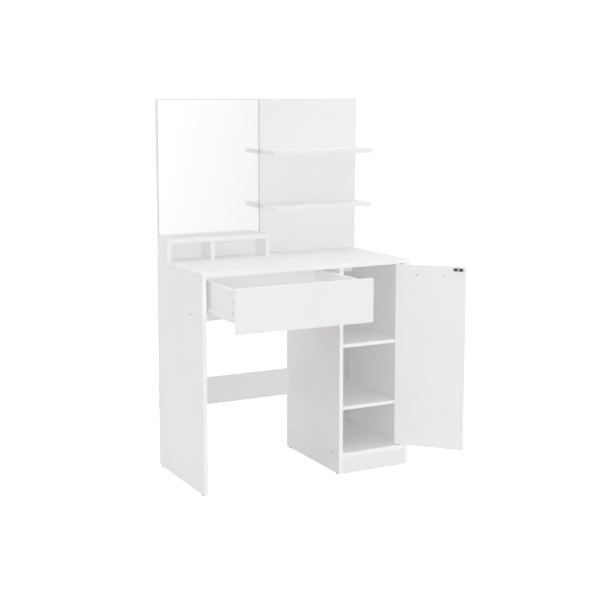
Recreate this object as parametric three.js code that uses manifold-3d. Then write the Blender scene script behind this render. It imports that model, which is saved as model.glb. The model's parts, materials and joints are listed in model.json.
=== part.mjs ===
// Vanity table with a hutch, frameless mirror, organiser, drawer and side cabinet.
// Millimetres, +Z up. The pieces are laid out in the table's own frame: x from the left
// outer face, y from the front edge towards the wall, z from the floor. The finished group
// is then shifted so that its origin is the middle of its footprint, on the floor.
import * as THREE from 'three';
import { mergeVertices } from 'three/addons/utils/BufferGeometryUtils.js';
import Module from 'manifold-3d';

const wasm = await Module();
wasm.setup();

// ---------------------------------------------------------------- driving sizes

// Boards and overall sizes
const board = 15;               // melamine-faced chipboard of the whole carcass
const width = 800;
const depth = 400;
const deskHeight = 750;         // floor to the top of the desktop
const hutchHeight = 562;        // desktop to the top of the back board
const glideHeight = 4;
const glideRadius = 6.5;
const glideInset = 20;          // glide centre to the panel's front or rear edge

// Cabinet on the right
const cabinetWidth = 285;
const plinthHeight = 58;
const hardboard = 3;            // cabinet back panel and drawer bottom
const rebateWidth = 8;          // rebate that the back panel lies in
const shelfBoard = 12;
const lowerCompartment = 148;   // clear heights of the two lower compartments
const middleCompartment = 211;
const swingClearance = 1;       // shelf fronts to the turning hinge edge of the door

// Rails between the left panel and the cabinet
const apronHeight = 220;
const stretcherHeight = 100;
const stretcherLow = 207;       // floor to the stretcher's lower edge

// Hutch and mirror
const hutchShelfDepth = 123;
const lowerHutchGap = 167;      // desktop to the lower shelf
const upperHutchGap = 183;      // clear height between the two shelves
const mirrorWidth = 392;
const mirrorThickness = 4;
const mirrorMargin = 2;         // bare board beside and above the glass

// Organiser under the mirror
const organiserDepth = 85;
const organiserClear = 65;      // clear height of its compartments
const cubbyWidth = 150;

// Drawer
const drawerOpening = 227;      // how far the drawer stands out
const drawerFrontHeight = 145;
const drawerFrontGap = 2;       // to the panel on each side
const drawerTopGap = 5;         // to the desktop
const drawerBoard = 12;
const drawerSideHeight = 103;
const drawerSideDrop = 11;      // top of the front to the top of the sides
const drawerRearGap = 20;       // closed drawer to the rear apron
const bottomInset = 10;         // lower edge of the sides to the drawer bottom
const grooveDepth = 6;
const groovePlay = 0.25;        // air round the drawer bottom in its groove
const camRadius = 6;
const camThickness = 8;
const camSetback = 32;          // back of the drawer front to the cam's centre
const camHeights = [30, 62];    // above the lower edge of the side

// Roller runners
const runnerGap = 12.5;         // cabinet panel to drawer side
const sheet = 1;                // steel of the bent members
const rollerRadius = 7;
const rollerWidth = 5;
const runningPlay = 0.3;        // roller to the track that it carries or rolls on
const ownPlay = 0.7;            // roller to the flange of the member that holds its axle
const trackPlay = 1;            // drawer track to the catch flange above it
const trackLip = 3;
const memberGap = 1.5;          // each member to the web of the other
const catchOverlap = 2.5;       // catch flange over the track
const wrapWidth = 11;           // flange under the drawer side
const rollerInset = 10;         // roller centre to the end of its member
const axleRadius = 2;
const axleHeadRadius = 3.2;
const runnerSetback = 2;        // closed drawer front to the cabinet members
const fixingHoleRadius = 2.1;
const fixingHoleInsets = [70, 30]; // front and rear fixing holes to the ends of the member

// Door
const doorOpening = 131.5;      // degrees that the door stands open
const doorGap = 2.5;            // to the panel on each side
const pivotInset = 15.5;        // pivot to the door's hinge edge
const pinRadius = 3;
const pinInDoor = 25;
const pinInBush = 8;
const bushRadius = 5;
const bushFlange = 1.5;
const bushFlangeRadius = 7.5;
const pivotPlay = 0.3;
const strikeWidth = 34;
const strikeHeight = 10;
const strikeThickness = 1.5;
const strikeInset = 7.5;        // strike plate to the door's free edge
const strikeDrop = 5.5;         // strike plate to the door's top edge
const catchWidth = 30;
const catchHeight = 15;
const catchDepth = 16;
const catchWall = 2;
const magnetHeight = 6;

// Door handle
const handleSpacing = 96;       // between its two screws
const handleDrop = 35.5;        // handle to the door's top edge
const handleProjection = 28;
const handleRadius = 5;
const handleBend = 12;

// Screws
const screwRadius = 3.2;        // connecting screws of the boards
const screwLength = 48;
const screwHeadRadius = 5;
const screwHeadThickness = 3;
const screwSetback = 50;        // front and rear screws to the panel's edges
const smallScrewRadius = 2;
const smallHeadRadius = 3.8;
const smallHeadThickness = 1.8;
const smallSlotDepth = 1;
const strikeScrewLength = 12;
const strikeHeadRadius = 3.4;
const screwInHandle = 9;
const holePlay = 0.3;           // air round every pin and screw
const faceplay = 0.3;           // air under a piece that sits on the swung door

// ---------------------------------------------------------------- derived places

const panelTop = deskHeight - board;
const cabinetLeft = width - cabinetWidth;
const innerLeft = cabinetLeft + board;
const innerRight = width - board;
const kneeLeft = board;
const kneeRight = cabinetLeft;
const cabinetBack = depth - hardboard;
const railFront = depth - board;
const bottomLow = glideHeight + plinthHeight;
const bottomTop = bottomLow + board;
const shelfFront = board / 2 + Math.hypot(pivotInset, board / 2) + swingClearance;
const lowerShelf = bottomTop + lowerCompartment;
const upperShelf = lowerShelf + shelfBoard + middleCompartment;

const hutchTop = deskHeight + hutchHeight;
const mirrorRight = mirrorMargin + mirrorWidth;
const hutchShelfLeft = mirrorRight + mirrorMargin;
const hutchShelfFront = railFront - hutchShelfDepth;
const lowerHutchShelf = deskHeight + lowerHutchGap;
const upperHutchShelf = lowerHutchShelf + board + upperHutchGap;
const organiserRight = mirrorRight + mirrorMargin / 2;
const organiserFront = railFront - organiserDepth;
const organiserTop = deskHeight + organiserClear;
const dividerLeft = board + cubbyWidth;

const drawerTop = panelTop - drawerTopGap;
const drawerSideTop = drawerTop - drawerSideDrop;
const drawerSideLow = drawerSideTop - drawerSideHeight;
const drawerBoxLeft = kneeLeft + runnerGap;
const drawerBoxRight = kneeRight - runnerGap;
const drawerBoxBack = railFront - drawerRearGap;
const drawerBottomLow = drawerSideLow + bottomInset;
const drawerBottomTop = drawerBottomLow + hardboard;

const doorLeft = innerLeft + doorGap;
const doorRight = innerRight - doorGap;
const doorLow = bottomTop + bushFlange + pivotPlay;
const doorTop = panelTop - bushFlange - pivotPlay;
const pivot = new THREE.Vector3(doorRight - pivotInset, board / 2, 0);
const doorMiddle = (doorLeft + doorRight) / 2;
const handleZ = doorTop - handleDrop;
const strikeLeft = doorLeft + strikeInset;
const strikeMiddle = strikeLeft + strikeWidth / 2;
const strikeZ = doorTop - strikeDrop - strikeHeight / 2;

// ---------------------------------------------------------------- materials

const finishes = {
  melamine: { color: 0xf0f0ef, roughness: 0.45, metalness: 0 },
  hardboard: { color: 0xe9e9e7, roughness: 0.6, metalness: 0 },
  mirror: { color: 0xf4f6f6, roughness: 0.02, metalness: 1 },
  coatedSteel: { color: 0xf2f2f0, roughness: 0.35, metalness: 0.1 },
  zincSteel: { color: 0xc8cacc, roughness: 0.35, metalness: 0.9 },
  darkSteel: { color: 0x4a4b4d, roughness: 0.4, metalness: 0.8 },
  nylon: { color: 0xededea, roughness: 0.5, metalness: 0 },
  greyPlastic: { color: 0x77787a, roughness: 0.6, metalness: 0 },
  blackPlastic: { color: 0x28292a, roughness: 0.55, metalness: 0 },
  handleMetal: { color: 0xb9babb, roughness: 0.3, metalness: 0.95 },
};

function piece(name, geometry, finish) {
  const mesh = new THREE.Mesh(geometry, new THREE.MeshStandardMaterial(finishes[finish]));
  mesh.name = name;
  return mesh;
}

// ---------------------------------------------------------------- shapes

// Moves every vertex of a geometry to the place that the function gives for it.
function remap(geometry, place) {
  const position = geometry.attributes.position;
  for (let i = 0; i < position.count; i += 1) {
    position.setXYZ(i, ...place(position.getX(i), position.getY(i), position.getZ(i)));
  }
  geometry.computeVertexNormals();
  return geometry;
}

// A board between two opposite corners; boards that meet share their face exactly.
function slab(x0, x1, y0, y1, z0, z1) {
  const pick = (value, low, high) => (value < 0 ? low : high);
  const unit = new THREE.BoxGeometry(1, 1, 1);
  return remap(unit, (x, y, z) => [pick(x, x0, x1), pick(y, y0, y1), pick(z, z0, z1)]);
}

function outline(points) {
  return new THREE.Shape(points.map(([a, b]) => new THREE.Vector2(a, b)));
}

// A plan outline carried up from z0 to z1.
function planPrism(points, z0, z1) {
  const unit = new THREE.ExtrudeGeometry(outline(points), { depth: 1, bevelEnabled: false });
  return remap(unit, (x, y, z) => [x, y, z < 0.5 ? z0 : z1]);
}

// A front-view outline, in x and z, carried back from y0 to y1.
function frontPrism(points, y0, y1) {
  const unit = new THREE.ExtrudeGeometry(outline(points), { depth: 1, bevelEnabled: false });
  return remap(unit, (x, z, along) => [x, along < 0.5 ? y1 : y0, z]);
}

// A solid of revolution about an axis; the profile holds pairs of radius and distance along it.
function turned(profile, axis, segments = 24) {
  const geometry = new THREE.LatheGeometry(profile.map(([r, s]) => new THREE.Vector2(r, s)), segments);
  if (axis === 'x') geometry.rotateZ(-Math.PI / 2);
  if (axis === 'z') geometry.rotateX(Math.PI / 2);
  return geometry;
}

// A plain rod from one end point along an axis.
function rod(radius, from, axis, length, segments = 20) {
  const direction = { x: [1, 0, 0], y: [0, 1, 0], z: [0, 0, 1] }[axis];
  const geometry = new THREE.CylinderGeometry(radius, radius, Math.abs(length), segments);
  if (axis === 'x') geometry.rotateZ(-Math.PI / 2);
  if (axis === 'z') geometry.rotateX(Math.PI / 2);
  const middle = direction.map((part, i) => from[i] + (part * length) / 2);
  return geometry.translate(...middle);
}

// ---------------------------------------------------------------- joining and cutting

function toSolid(geometry) {
  const bare = geometry.clone();
  bare.deleteAttribute('normal');
  bare.deleteAttribute('uv');
  const merged = mergeVertices(bare, 1e-5);
  const mesh = new wasm.Mesh({
    numProp: 3,
    vertProperties: new Float32Array(merged.attributes.position.array),
    triVerts: new Uint32Array(merged.index.array),
  });
  return new wasm.Manifold(mesh);
}

function toGeometry(solid) {
  const mesh = solid.getMesh();
  const geometry = new THREE.BufferGeometry();
  geometry.setAttribute('position', new THREE.BufferAttribute(new Float32Array(mesh.vertProperties), 3));
  geometry.setIndex(new THREE.BufferAttribute(new Uint32Array(mesh.triVerts), 1));
  geometry.computeVertexNormals();
  return geometry;
}

function cut(geometry, tools) {
  return toGeometry(tools.reduce((solid, tool) => solid.subtract(toSolid(tool)), toSolid(geometry)));
}

function join(geometry, additions) {
  return toGeometry(additions.reduce((solid, extra) => solid.add(toSolid(extra)), toSolid(geometry)));
}

// ---------------------------------------------------------------- connecting screws

// Places of the visible connecting screws. Each goes in along x from the outer face of a
// panel, sign +1 towards the right, and holds the end of the board behind it.
const railScrewY = depth - board / 2;
const bottomScrewZ = (bottomLow + bottomTop) / 2;
const stretcherScrews = [1 / 6, 5 / 6].map((share, i) => ({
  name: `stretcher_screw_${['lower', 'upper'][i]}`,
  place: [0, railScrewY, stretcherLow + share * stretcherHeight],
  sign: 1,
}));
const screwRows = [screwSetback, depth - screwSetback];
const bottomScrews = [[cabinetLeft, 1, 'left'], [width, -1, 'right']].flatMap(([x, sign, side]) =>
  screwRows.map((y, i) => ({
    name: `cabinet_screw_${side}_${['front', 'rear'][i]}`,
    place: [x, y, bottomScrewZ],
    sign,
  })));

// Air for one screw: a counterbore for its head and a hole for its shank.
function screwHole({ place, sign }) {
  const head = rod(screwHeadRadius + holePlay, place, 'x', sign * (screwHeadThickness + holePlay));
  const shank = rod(screwRadius + holePlay, place, 'x', sign * (screwLength + holePlay));
  return [head, shank];
}

// A flat-headed connecting screw with a hexagon socket, its shank pointed at the end.
function connectingScrew({ name, place, sign }) {
  const tip = screwRadius * 1.5;
  const socketRadius = screwHeadRadius * 0.45;
  const profile = [
    [0, 0],
    [screwHeadRadius, 0],
    [screwHeadRadius, screwHeadThickness],
    [screwRadius, screwHeadThickness],
    [screwRadius, screwLength - tip],
    [0, screwLength],
  ];
  const socket = rod(socketRadius, [0, -holePlay, 0], 'y', screwHeadThickness * 0.8 + holePlay, 6);
  const mesh = piece(name, cut(turned(profile, 'y', 16), [socket]), 'zincSteel');
  mesh.position.set(...place);
  mesh.rotation.z = (-sign * Math.PI) / 2;
  return mesh;
}

// ---------------------------------------------------------------- carcass

function carcassBoards() {
  const bushHoleRadius = bushRadius + holePlay;
  const bushHole = (z, length) => rod(bushHoleRadius, [pivot.x, pivot.y, z], 'z', length);
  const bushDepth = pinInBush + 2;
  const rebated = (inner, outer, edge) => planPrism(
    [[outer, 0], [inner, 0], [inner, cabinetBack], [edge, cabinetBack], [edge, depth], [outer, depth]],
    glideHeight,
    panelTop,
  );
  const holes = bottomScrews.flatMap(screwHole);
  const desktop = cut(
    slab(0, width, 0, depth, panelTop, deskHeight),
    [bushHole(panelTop - 1, bushDepth + 1)],
  );
  const leftSide = cut(slab(0, board, 0, depth, glideHeight, panelTop), stretcherScrews.flatMap(screwHole));
  const cabinetLeftPanel = cut(rebated(innerLeft, cabinetLeft, innerLeft - rebateWidth), holes);
  const cabinetRightPanel = cut(rebated(innerRight, width, innerRight + rebateWidth), holes);
  const bottom = cut(
    slab(innerLeft, innerRight, 0, cabinetBack, bottomLow, bottomTop),
    [...holes, bushHole(bottomTop + 1, -(bushDepth + 1))],
  );
  const stretcher = cut(
    slab(kneeLeft, kneeRight, railFront, depth, stretcherLow, stretcherLow + stretcherHeight),
    stretcherScrews.flatMap(screwHole),
  );
  const shelf = (z) => slab(innerLeft, innerRight, shelfFront, cabinetBack, z, z + shelfBoard);
  const backLeft = innerLeft - rebateWidth;
  const backRight = innerRight + rebateWidth;
  const back = slab(backLeft, backRight, cabinetBack, depth, bottomLow, panelTop);
  const apron = slab(kneeLeft, kneeRight, railFront, depth, panelTop - apronHeight, panelTop);
  return [
    piece('desktop', desktop, 'melamine'),
    piece('left_side_panel', leftSide, 'melamine'),
    piece('cabinet_left_panel', cabinetLeftPanel, 'melamine'),
    piece('cabinet_right_panel', cabinetRightPanel, 'melamine'),
    piece('cabinet_bottom_board', bottom, 'melamine'),
    piece('plinth_board', slab(innerLeft, innerRight, 0, board, glideHeight, bottomLow), 'melamine'),
    piece('cabinet_lower_shelf', shelf(lowerShelf), 'melamine'),
    piece('cabinet_upper_shelf', shelf(upperShelf), 'melamine'),
    piece('cabinet_back_panel', back, 'hardboard'),
    piece('rear_stretcher', stretcher, 'melamine'),
    piece('rear_apron', apron, 'melamine'),
  ];
}

function hutch() {
  const shelf = (z) => slab(hutchShelfLeft, width, hutchShelfFront, railFront, z, z + board);
  const mirrorTop = hutchTop - mirrorMargin;
  const mirrorLow = organiserTop + board;
  const mirrorFront = railFront - mirrorThickness;
  const glass = slab(mirrorMargin, mirrorRight, mirrorFront, railFront, mirrorLow, mirrorTop);
  return [
    piece('hutch_back_board', slab(0, width, railFront, depth, deskHeight, hutchTop), 'melamine'),
    piece('mirror_glass', glass, 'mirror'),
    piece('hutch_lower_shelf', shelf(lowerHutchShelf), 'melamine'),
    piece('hutch_upper_shelf', shelf(upperHutchShelf), 'melamine'),
  ];
}

function organiser() {
  const upright = (x) => slab(x, x + board, organiserFront, railFront, deskHeight, organiserTop);
  const top = slab(0, organiserRight, organiserFront, railFront, organiserTop, organiserTop + board);
  return [
    piece('organiser_left_side', upright(0), 'melamine'),
    piece('organiser_divider', upright(dividerLeft), 'melamine'),
    piece('organiser_right_side', upright(organiserRight - board), 'melamine'),
    piece('organiser_top_board', top, 'melamine'),
  ];
}

// Nail-on glides under the front and rear ends of the three upright panels.
function glides() {
  const chamfer = glideHeight / 4;
  const profile = [
    [0, 0],
    [glideRadius, 0],
    [glideRadius, glideHeight - chamfer],
    [glideRadius - chamfer, glideHeight],
    [0, glideHeight],
  ];
  const panels = [[board / 2, 'left'], [cabinetLeft + board / 2, 'middle'], [width - board / 2, 'right']];
  const ends = [[glideInset, 'front'], [depth - glideInset, 'rear']];
  return panels.flatMap(([x, side]) => ends.map(([y, end]) => {
    const mesh = piece(`glide_${side}_${end}`, turned(profile, 'z').rotateX(Math.PI), 'greyPlastic');
    mesh.position.set(x, y, glideHeight);
    return mesh;
  }));
}

// ---------------------------------------------------------------- roller runners

// Heights of the runner: the cabinet member's channel, and the drawer member's track in it.
const channelFloor = drawerSideLow - sheet;
const trackUnder = channelFloor + ownPlay + 2 * rollerRadius + runningPlay;
const trackTop = trackUnder + sheet;
const catchUnder = trackTop + trackPlay;
const catchTop = catchUnder + sheet;

// Distances from the cabinet panel's face towards the drawer side.
const drawerWeb = runnerGap - sheet;
const channelEdge = drawerWeb - memberGap;
const trackEdge = sheet + memberGap;
const catchEdge = trackEdge + catchOverlap;
const frontRollerFrom = trackEdge + sheet + ownPlay;
const rearRollerFrom = channelEdge - rollerWidth - holePlay;
const wrapUnder = drawerWeb + wrapWidth;

const runnerFront = board + runnerSetback;
const runnerBack = runnerFront + (drawerBoxBack - board);
const frontRoller = [runnerFront + rollerInset, channelFloor + ownPlay + rollerRadius];
const rearRoller = [drawerBoxBack - rollerInset, channelFloor + runningPlay + rollerRadius];

// The two sides of the drawer: the panel face that carries the runner, and the way inwards.
const runnerSides = [
  { side: 'left', face: kneeLeft, inward: 1 },
  { side: 'right', face: kneeRight, inward: -1 },
];

// An axle with a rivet head, standing on a web and pointing across the runner.
function axle(face, inward, from, length, [y, z]) {
  const shank = rod(axleRadius, [face + inward * from, y, z], 'x', inward * length);
  const headStart = from + length - Math.sign(length) * sheet;
  const headLength = inward * Math.sign(length) * sheet;
  const head = rod(axleHeadRadius, [face + inward * headStart, y, z], 'x', headLength);
  return [shank, head];
}

// The cabinet half: a bent channel with a catch flange above and a roller axle in front.
function cabinetMember({ side, face, inward }) {
  const at = (offset, z) => [face + inward * offset, z];
  const profile = [
    at(0, channelFloor - sheet),
    at(channelEdge, channelFloor - sheet),
    at(channelEdge, channelFloor),
    at(sheet, channelFloor),
    at(sheet, catchUnder),
    at(catchEdge, catchUnder),
    at(catchEdge, catchTop),
    at(0, catchTop),
  ];
  const member = join(
    frontPrism(profile, runnerFront, runnerBack),
    axle(face, inward, sheet / 2, frontRollerFrom + rollerWidth + holePlay + sheet / 2, frontRoller),
  );
  const firstHole = runnerFront + fixingHoleInsets[0];
  const lastHole = runnerBack - fixingHoleInsets[1];
  const holes = [firstHole, (firstHole + lastHole) / 2, lastHole].map((y) => rod(
    fixingHoleRadius,
    [face - inward * sheet, y, (channelFloor + catchUnder) / 2],
    'x',
    inward * 3 * sheet,
    12,
  ));
  return piece(`runner_cabinet_member_${side}`, cut(member, holes), 'coatedSteel');
}

// The drawer half: wraps under the drawer side, and its track runs over the front roller.
function drawerMember({ side, face, inward }) {
  const at = (offset, z) => [face + inward * offset, z];
  const wrapTop = drawerSideLow;
  const profile = [
    at(drawerWeb, wrapTop - sheet),
    at(wrapUnder, wrapTop - sheet),
    at(wrapUnder, wrapTop),
    at(runnerGap, wrapTop),
    at(runnerGap, trackTop),
    at(trackEdge, trackTop),
    at(trackEdge, trackUnder - trackLip),
    at(trackEdge + sheet, trackUnder - trackLip),
    at(trackEdge + sheet, trackUnder),
    at(drawerWeb, trackUnder),
  ];
  const reach = rearRollerFrom - holePlay - sheet - (drawerWeb + sheet / 2);
  const member = join(
    frontPrism(profile, board, drawerBoxBack),
    axle(face, inward, drawerWeb + sheet / 2, reach, rearRoller),
  );
  return piece(`runner_drawer_member_${side}`, member, 'coatedSteel');
}

// A runner roller: a nylon ring with eased rims and a shallow tyre groove.
function roller(name, face, inward, from, [y, z]) {
  const bore = axleRadius + holePlay;
  const ease = 0.6;
  const profile = [
    [bore, 0],
    [rollerRadius - ease, 0],
    [rollerRadius, ease],
    [rollerRadius, rollerWidth - ease],
    [rollerRadius - ease, rollerWidth],
    [bore, rollerWidth],
    [bore, 0],
  ];
  const mesh = piece(name, turned(profile, 'x').translate(-rollerWidth / 2, 0, 0), 'nylon');
  mesh.position.set(face + inward * (from + rollerWidth / 2), y, z);
  return mesh;
}

// ---------------------------------------------------------------- drawer

// The drawer in its closed place.
function drawerPieces() {
  const frontLeft = kneeLeft + drawerFrontGap;
  const frontRight = kneeRight - drawerFrontGap;
  const frontLow = drawerTop - drawerFrontHeight;
  const grooveLow = drawerBottomLow - groovePlay;
  const grooveTop = drawerBottomTop + groovePlay;
  const bottomReach = grooveDepth - groovePlay;
  const innerFaces = [drawerBoxLeft + drawerBoard, drawerBoxRight - drawerBoard];
  const grooveFloor = board - grooveDepth;
  const grooveEnds = [innerFaces[0] - grooveDepth, innerFaces[1] + grooveDepth];
  const front = cut(
    slab(frontLeft, frontRight, 0, board, frontLow, drawerTop),
    [slab(...grooveEnds, grooveFloor, board + 1, grooveLow, grooveTop)],
  );
  const side = (outer, inward) => {
    const inner = outer + inward * drawerBoard;
    const groove = inner - inward * grooveDepth;
    const profile = [
      [outer, drawerSideLow],
      [inner, drawerSideLow],
      [inner, grooveLow],
      [groove, grooveLow],
      [groove, grooveTop],
      [inner, grooveTop],
      [inner, drawerSideTop],
      [outer, drawerSideTop],
    ];
    const pockets = camHeights.map((z) => rod(
      camRadius + holePlay,
      [outer - inward, board + camSetback, drawerSideLow + z],
      'x',
      inward * (camThickness + holePlay + 1),
    ));
    return cut(frontPrism(profile, board, drawerBoxBack), pockets);
  };
  const backFront = drawerBoxBack - drawerBoard;
  const back = slab(...innerFaces, backFront, drawerBoxBack, grooveTop, drawerSideTop);
  const bottom = slab(
    innerFaces[0] - bottomReach,
    innerFaces[1] + bottomReach,
    board - bottomReach,
    drawerBoxBack,
    drawerBottomLow,
    drawerBottomTop,
  );
  return [
    piece('drawer_front', front, 'melamine'),
    piece('drawer_left_side', side(drawerBoxLeft, 1), 'melamine'),
    piece('drawer_right_side', side(drawerBoxRight, -1), 'melamine'),
    piece('drawer_back', back, 'melamine'),
    piece('drawer_bottom', bottom, 'hardboard'),
  ];
}

// A cam lock, sunk in the drawer side with its cross-slotted face outwards.
function camLock(name, outer, inward, z) {
  const slotDepth = 2;
  const slotHalfWidth = 0.8;
  const slotReach = camRadius * 0.6;
  const slots = [[slotReach, slotHalfWidth], [slotHalfWidth, slotReach]].map(([y, height]) =>
    slab(-1, slotDepth, -y, y, -height, height));
  const body = cut(rod(camRadius, [0, 0, 0], 'x', camThickness), slots);
  const mesh = piece(name, body, 'zincSteel');
  mesh.position.set(outer, board + camSetback, drawerSideLow + z);
  mesh.rotation.z = inward > 0 ? 0 : Math.PI;
  return mesh;
}

// ---------------------------------------------------------------- door

// The door leaf in its closed place, with the holes of its pins and screws.
function doorPanel() {
  const pinHoles = [[doorLow, 1], [doorTop, -1]].map(([z, sign]) => rod(
    pinRadius + holePlay,
    [pivot.x, pivot.y, z - sign],
    'z',
    sign * (pinInDoor + holePlay + 1),
  ));
  const screwHoleRadius = smallScrewRadius + holePlay;
  const handleHoles = handleFeet().map((x) => rod(screwHoleRadius, [x, -1, handleZ], 'y', board + 2));
  const strikeReach = strikeScrewLength - strikeThickness - faceplay + holePlay;
  const strikeHole = rod(screwHoleRadius, [strikeMiddle, board + 1, strikeZ], 'y', -strikeReach - 1);
  return piece(
    'door_panel',
    cut(slab(doorLeft, doorRight, 0, board, doorLow, doorTop), [...pinHoles, ...handleHoles, strikeHole]),
    'melamine',
  );
}

function handleFeet() {
  return [doorMiddle - handleSpacing / 2, doorMiddle + handleSpacing / 2];
}

// A steel pivot pin, from inside the door edge into its bush, with eased ends.
function hingePin(name, edge, sign) {
  const length = pinInDoor + bushFlange + pivotPlay + pinInBush;
  const ease = 0.8;
  const profile = [
    [0, 0],
    [pinRadius - ease, 0],
    [pinRadius, ease],
    [pinRadius, length - ease],
    [pinRadius - ease, length],
    [0, length],
  ];
  const mesh = piece(name, turned(profile, 'z'), 'zincSteel');
  mesh.position.set(pivot.x, pivot.y, edge - sign * pinInDoor);
  mesh.rotation.x = sign > 0 ? 0 : Math.PI;
  return mesh;
}

// A flanged nylon bush, pressed into the board that the pin turns in.
function hingeBush(name, face, sign) {
  const bore = pinRadius + holePlay;
  const profile = [
    [bore, -bushFlange],
    [bushFlangeRadius, -bushFlange],
    [bushFlangeRadius, 0],
    [bushRadius, 0],
    [bushRadius, pinInBush + 1],
    [bore, pinInBush + 1],
    [bore, -bushFlange],
  ];
  const mesh = piece(name, turned(profile, 'z'), 'blackPlastic');
  mesh.position.set(pivot.x, pivot.y, face);
  mesh.rotation.x = sign > 0 ? 0 : Math.PI;
  return mesh;
}

// The strike plate: a small plate with round corners and a countersunk hole, on the inner face.
function strikePlate() {
  const corner = 2;
  const [w, h] = [strikeWidth / 2, strikeHeight / 2];
  const shape = new THREE.Shape();
  shape.moveTo(-w + corner, -h);
  shape.lineTo(w - corner, -h);
  shape.absarc(w - corner, -h + corner, corner, -Math.PI / 2, 0);
  shape.absarc(w - corner, h - corner, corner, 0, Math.PI / 2);
  shape.absarc(-w + corner, h - corner, corner, Math.PI / 2, Math.PI);
  shape.absarc(-w + corner, -h + corner, corner, Math.PI, 1.5 * Math.PI);
  const options = { depth: strikeThickness, bevelEnabled: false, curveSegments: 4 };
  const plate = new THREE.ExtrudeGeometry(shape, options);
  const flare = (strikeHeadRadius - smallScrewRadius) / strikeThickness;
  const sink = [
    [0, -1],
    [strikeHeadRadius + holePlay + flare, -1],
    [smallScrewRadius + holePlay, strikeThickness],
    [smallScrewRadius + holePlay, strikeThickness + 1],
    [0, strikeThickness + 1],
  ];
  const mesh = piece('strike_plate', cut(plate, [turned(sink, 'z', 16)]), 'darkSteel');
  mesh.position.set(strikeMiddle, board + faceplay + strikeThickness, strikeZ);
  mesh.rotation.x = Math.PI / 2;
  return mesh;
}

// Heads of the small screws, from the top of the shank to the axis.
const panHead = [
  [smallScrewRadius, 0],
  [smallHeadRadius, 0],
  [smallHeadRadius, smallHeadThickness * 0.55],
  [smallHeadRadius * 0.7, smallHeadThickness],
  [0, smallHeadThickness],
];
const sunkHead = [[smallScrewRadius, -strikeThickness], [strikeHeadRadius, 0], [0, 0]];

// A small screw with a cross slot, driven towards -y from the given place.
function smallScrew(name, head, place, length) {
  const top = head[head.length - 1][1];
  const slots = [[0.4, 2], [2, 0.4]].map(([x, z]) => slab(-x, x, top - smallSlotDepth, top + 1, -z, z));
  const body = turned([[0, -length], [smallScrewRadius, -length], ...head], 'y', 16);
  const mesh = piece(name, cut(body, slots), 'zincSteel');
  mesh.position.set(...place);
  return mesh;
}

// A bow handle: one round bar bent into a flat bow, its feet bored for the screws.
function doorHandle() {
  const [x0, x1] = handleFeet();
  const foot = -faceplay;
  const bar = -(handleProjection - handleRadius);
  const point = (x, y) => new THREE.Vector3(x, y, handleZ);
  const straight = (from, to) => new THREE.LineCurve3(point(...from), point(...to));
  const bend = (...places) => new THREE.QuadraticBezierCurve3(...places.map((place) => point(...place)));
  const rise = bar + handleBend;
  const path = new THREE.CurvePath();
  path.add(straight([x0, foot], [x0, rise]));
  path.add(bend([x0, rise], [x0, bar], [x0 + handleBend, bar]));
  path.add(straight([x0 + handleBend, bar], [x1 - handleBend, bar]));
  path.add(bend([x1 - handleBend, bar], [x1, bar], [x1, rise]));
  path.add(straight([x1, rise], [x1, foot]));
  const section = new THREE.Shape().absarc(0, 0, handleRadius, 0, 2 * Math.PI);
  const bow = new THREE.ExtrudeGeometry(section, { steps: 48, curveSegments: 12, extrudePath: path });
  const boreLength = screwInHandle + holePlay + 1;
  const bores = [x0, x1].map((x) => rod(smallScrewRadius + holePlay, [x, 1, handleZ], 'y', -boreLength));
  return piece('door_handle', cut(bow, bores), 'handleMetal');
}

// ---------------------------------------------------------------- magnetic catch

// The catch under the desktop: a housing with the plated magnet in its open front.
function magneticCatch() {
  const front = board + 2 * faceplay + strikeThickness;
  const low = panelTop - catchHeight;
  const left = strikeMiddle - catchWidth / 2;
  const right = strikeMiddle + catchWidth / 2;
  const pocketLow = low + catchWall;
  const pocketTop = pocketLow + magnetHeight;
  const pocketLeft = left + catchWall;
  const pocketRight = right - catchWall;
  const pocketBack = front + catchDepth - catchWall;
  const housing = cut(
    slab(left, right, front, front + catchDepth, low, panelTop),
    [slab(pocketLeft, pocketRight, front - 1, pocketBack, pocketLow, pocketTop)],
  );
  const magnet = slab(
    pocketLeft + holePlay,
    pocketRight - holePlay,
    front + holePlay,
    pocketBack - holePlay,
    pocketLow + holePlay,
    pocketTop - holePlay,
  );
  return [
    piece('magnetic_catch_housing', housing, 'nylon'),
    piece('magnetic_catch_magnet', magnet, 'zincSteel'),
  ];
}

// ---------------------------------------------------------------- assembly

const carcass = new THREE.Group();
carcass.add(...carcassBoards(), ...hutch(), ...organiser(), ...glides());
carcass.add(...[...stretcherScrews, ...bottomScrews].map(connectingScrew));
carcass.add(hingeBush('hinge_bush_top', panelTop, 1), hingeBush('hinge_bush_bottom', bottomTop, -1));
carcass.add(...magneticCatch());

const drawer = new THREE.Group();
drawer.add(...drawerPieces());
drawer.position.y = -drawerOpening;

for (const runner of runnerSides) {
  const { side, face, inward } = runner;
  carcass.add(cabinetMember(runner));
  carcass.add(roller(`runner_front_roller_${side}`, face, inward, frontRollerFrom, frontRoller));
  drawer.add(drawerMember(runner));
  drawer.add(roller(`runner_rear_roller_${side}`, face, inward, rearRollerFrom, rearRoller));
  camHeights.forEach((z, i) => {
    const name = `cam_lock_${side}_${['lower', 'upper'][i]}`;
    drawer.add(camLock(name, face + inward * runnerGap, inward, z));
  });
}

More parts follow.
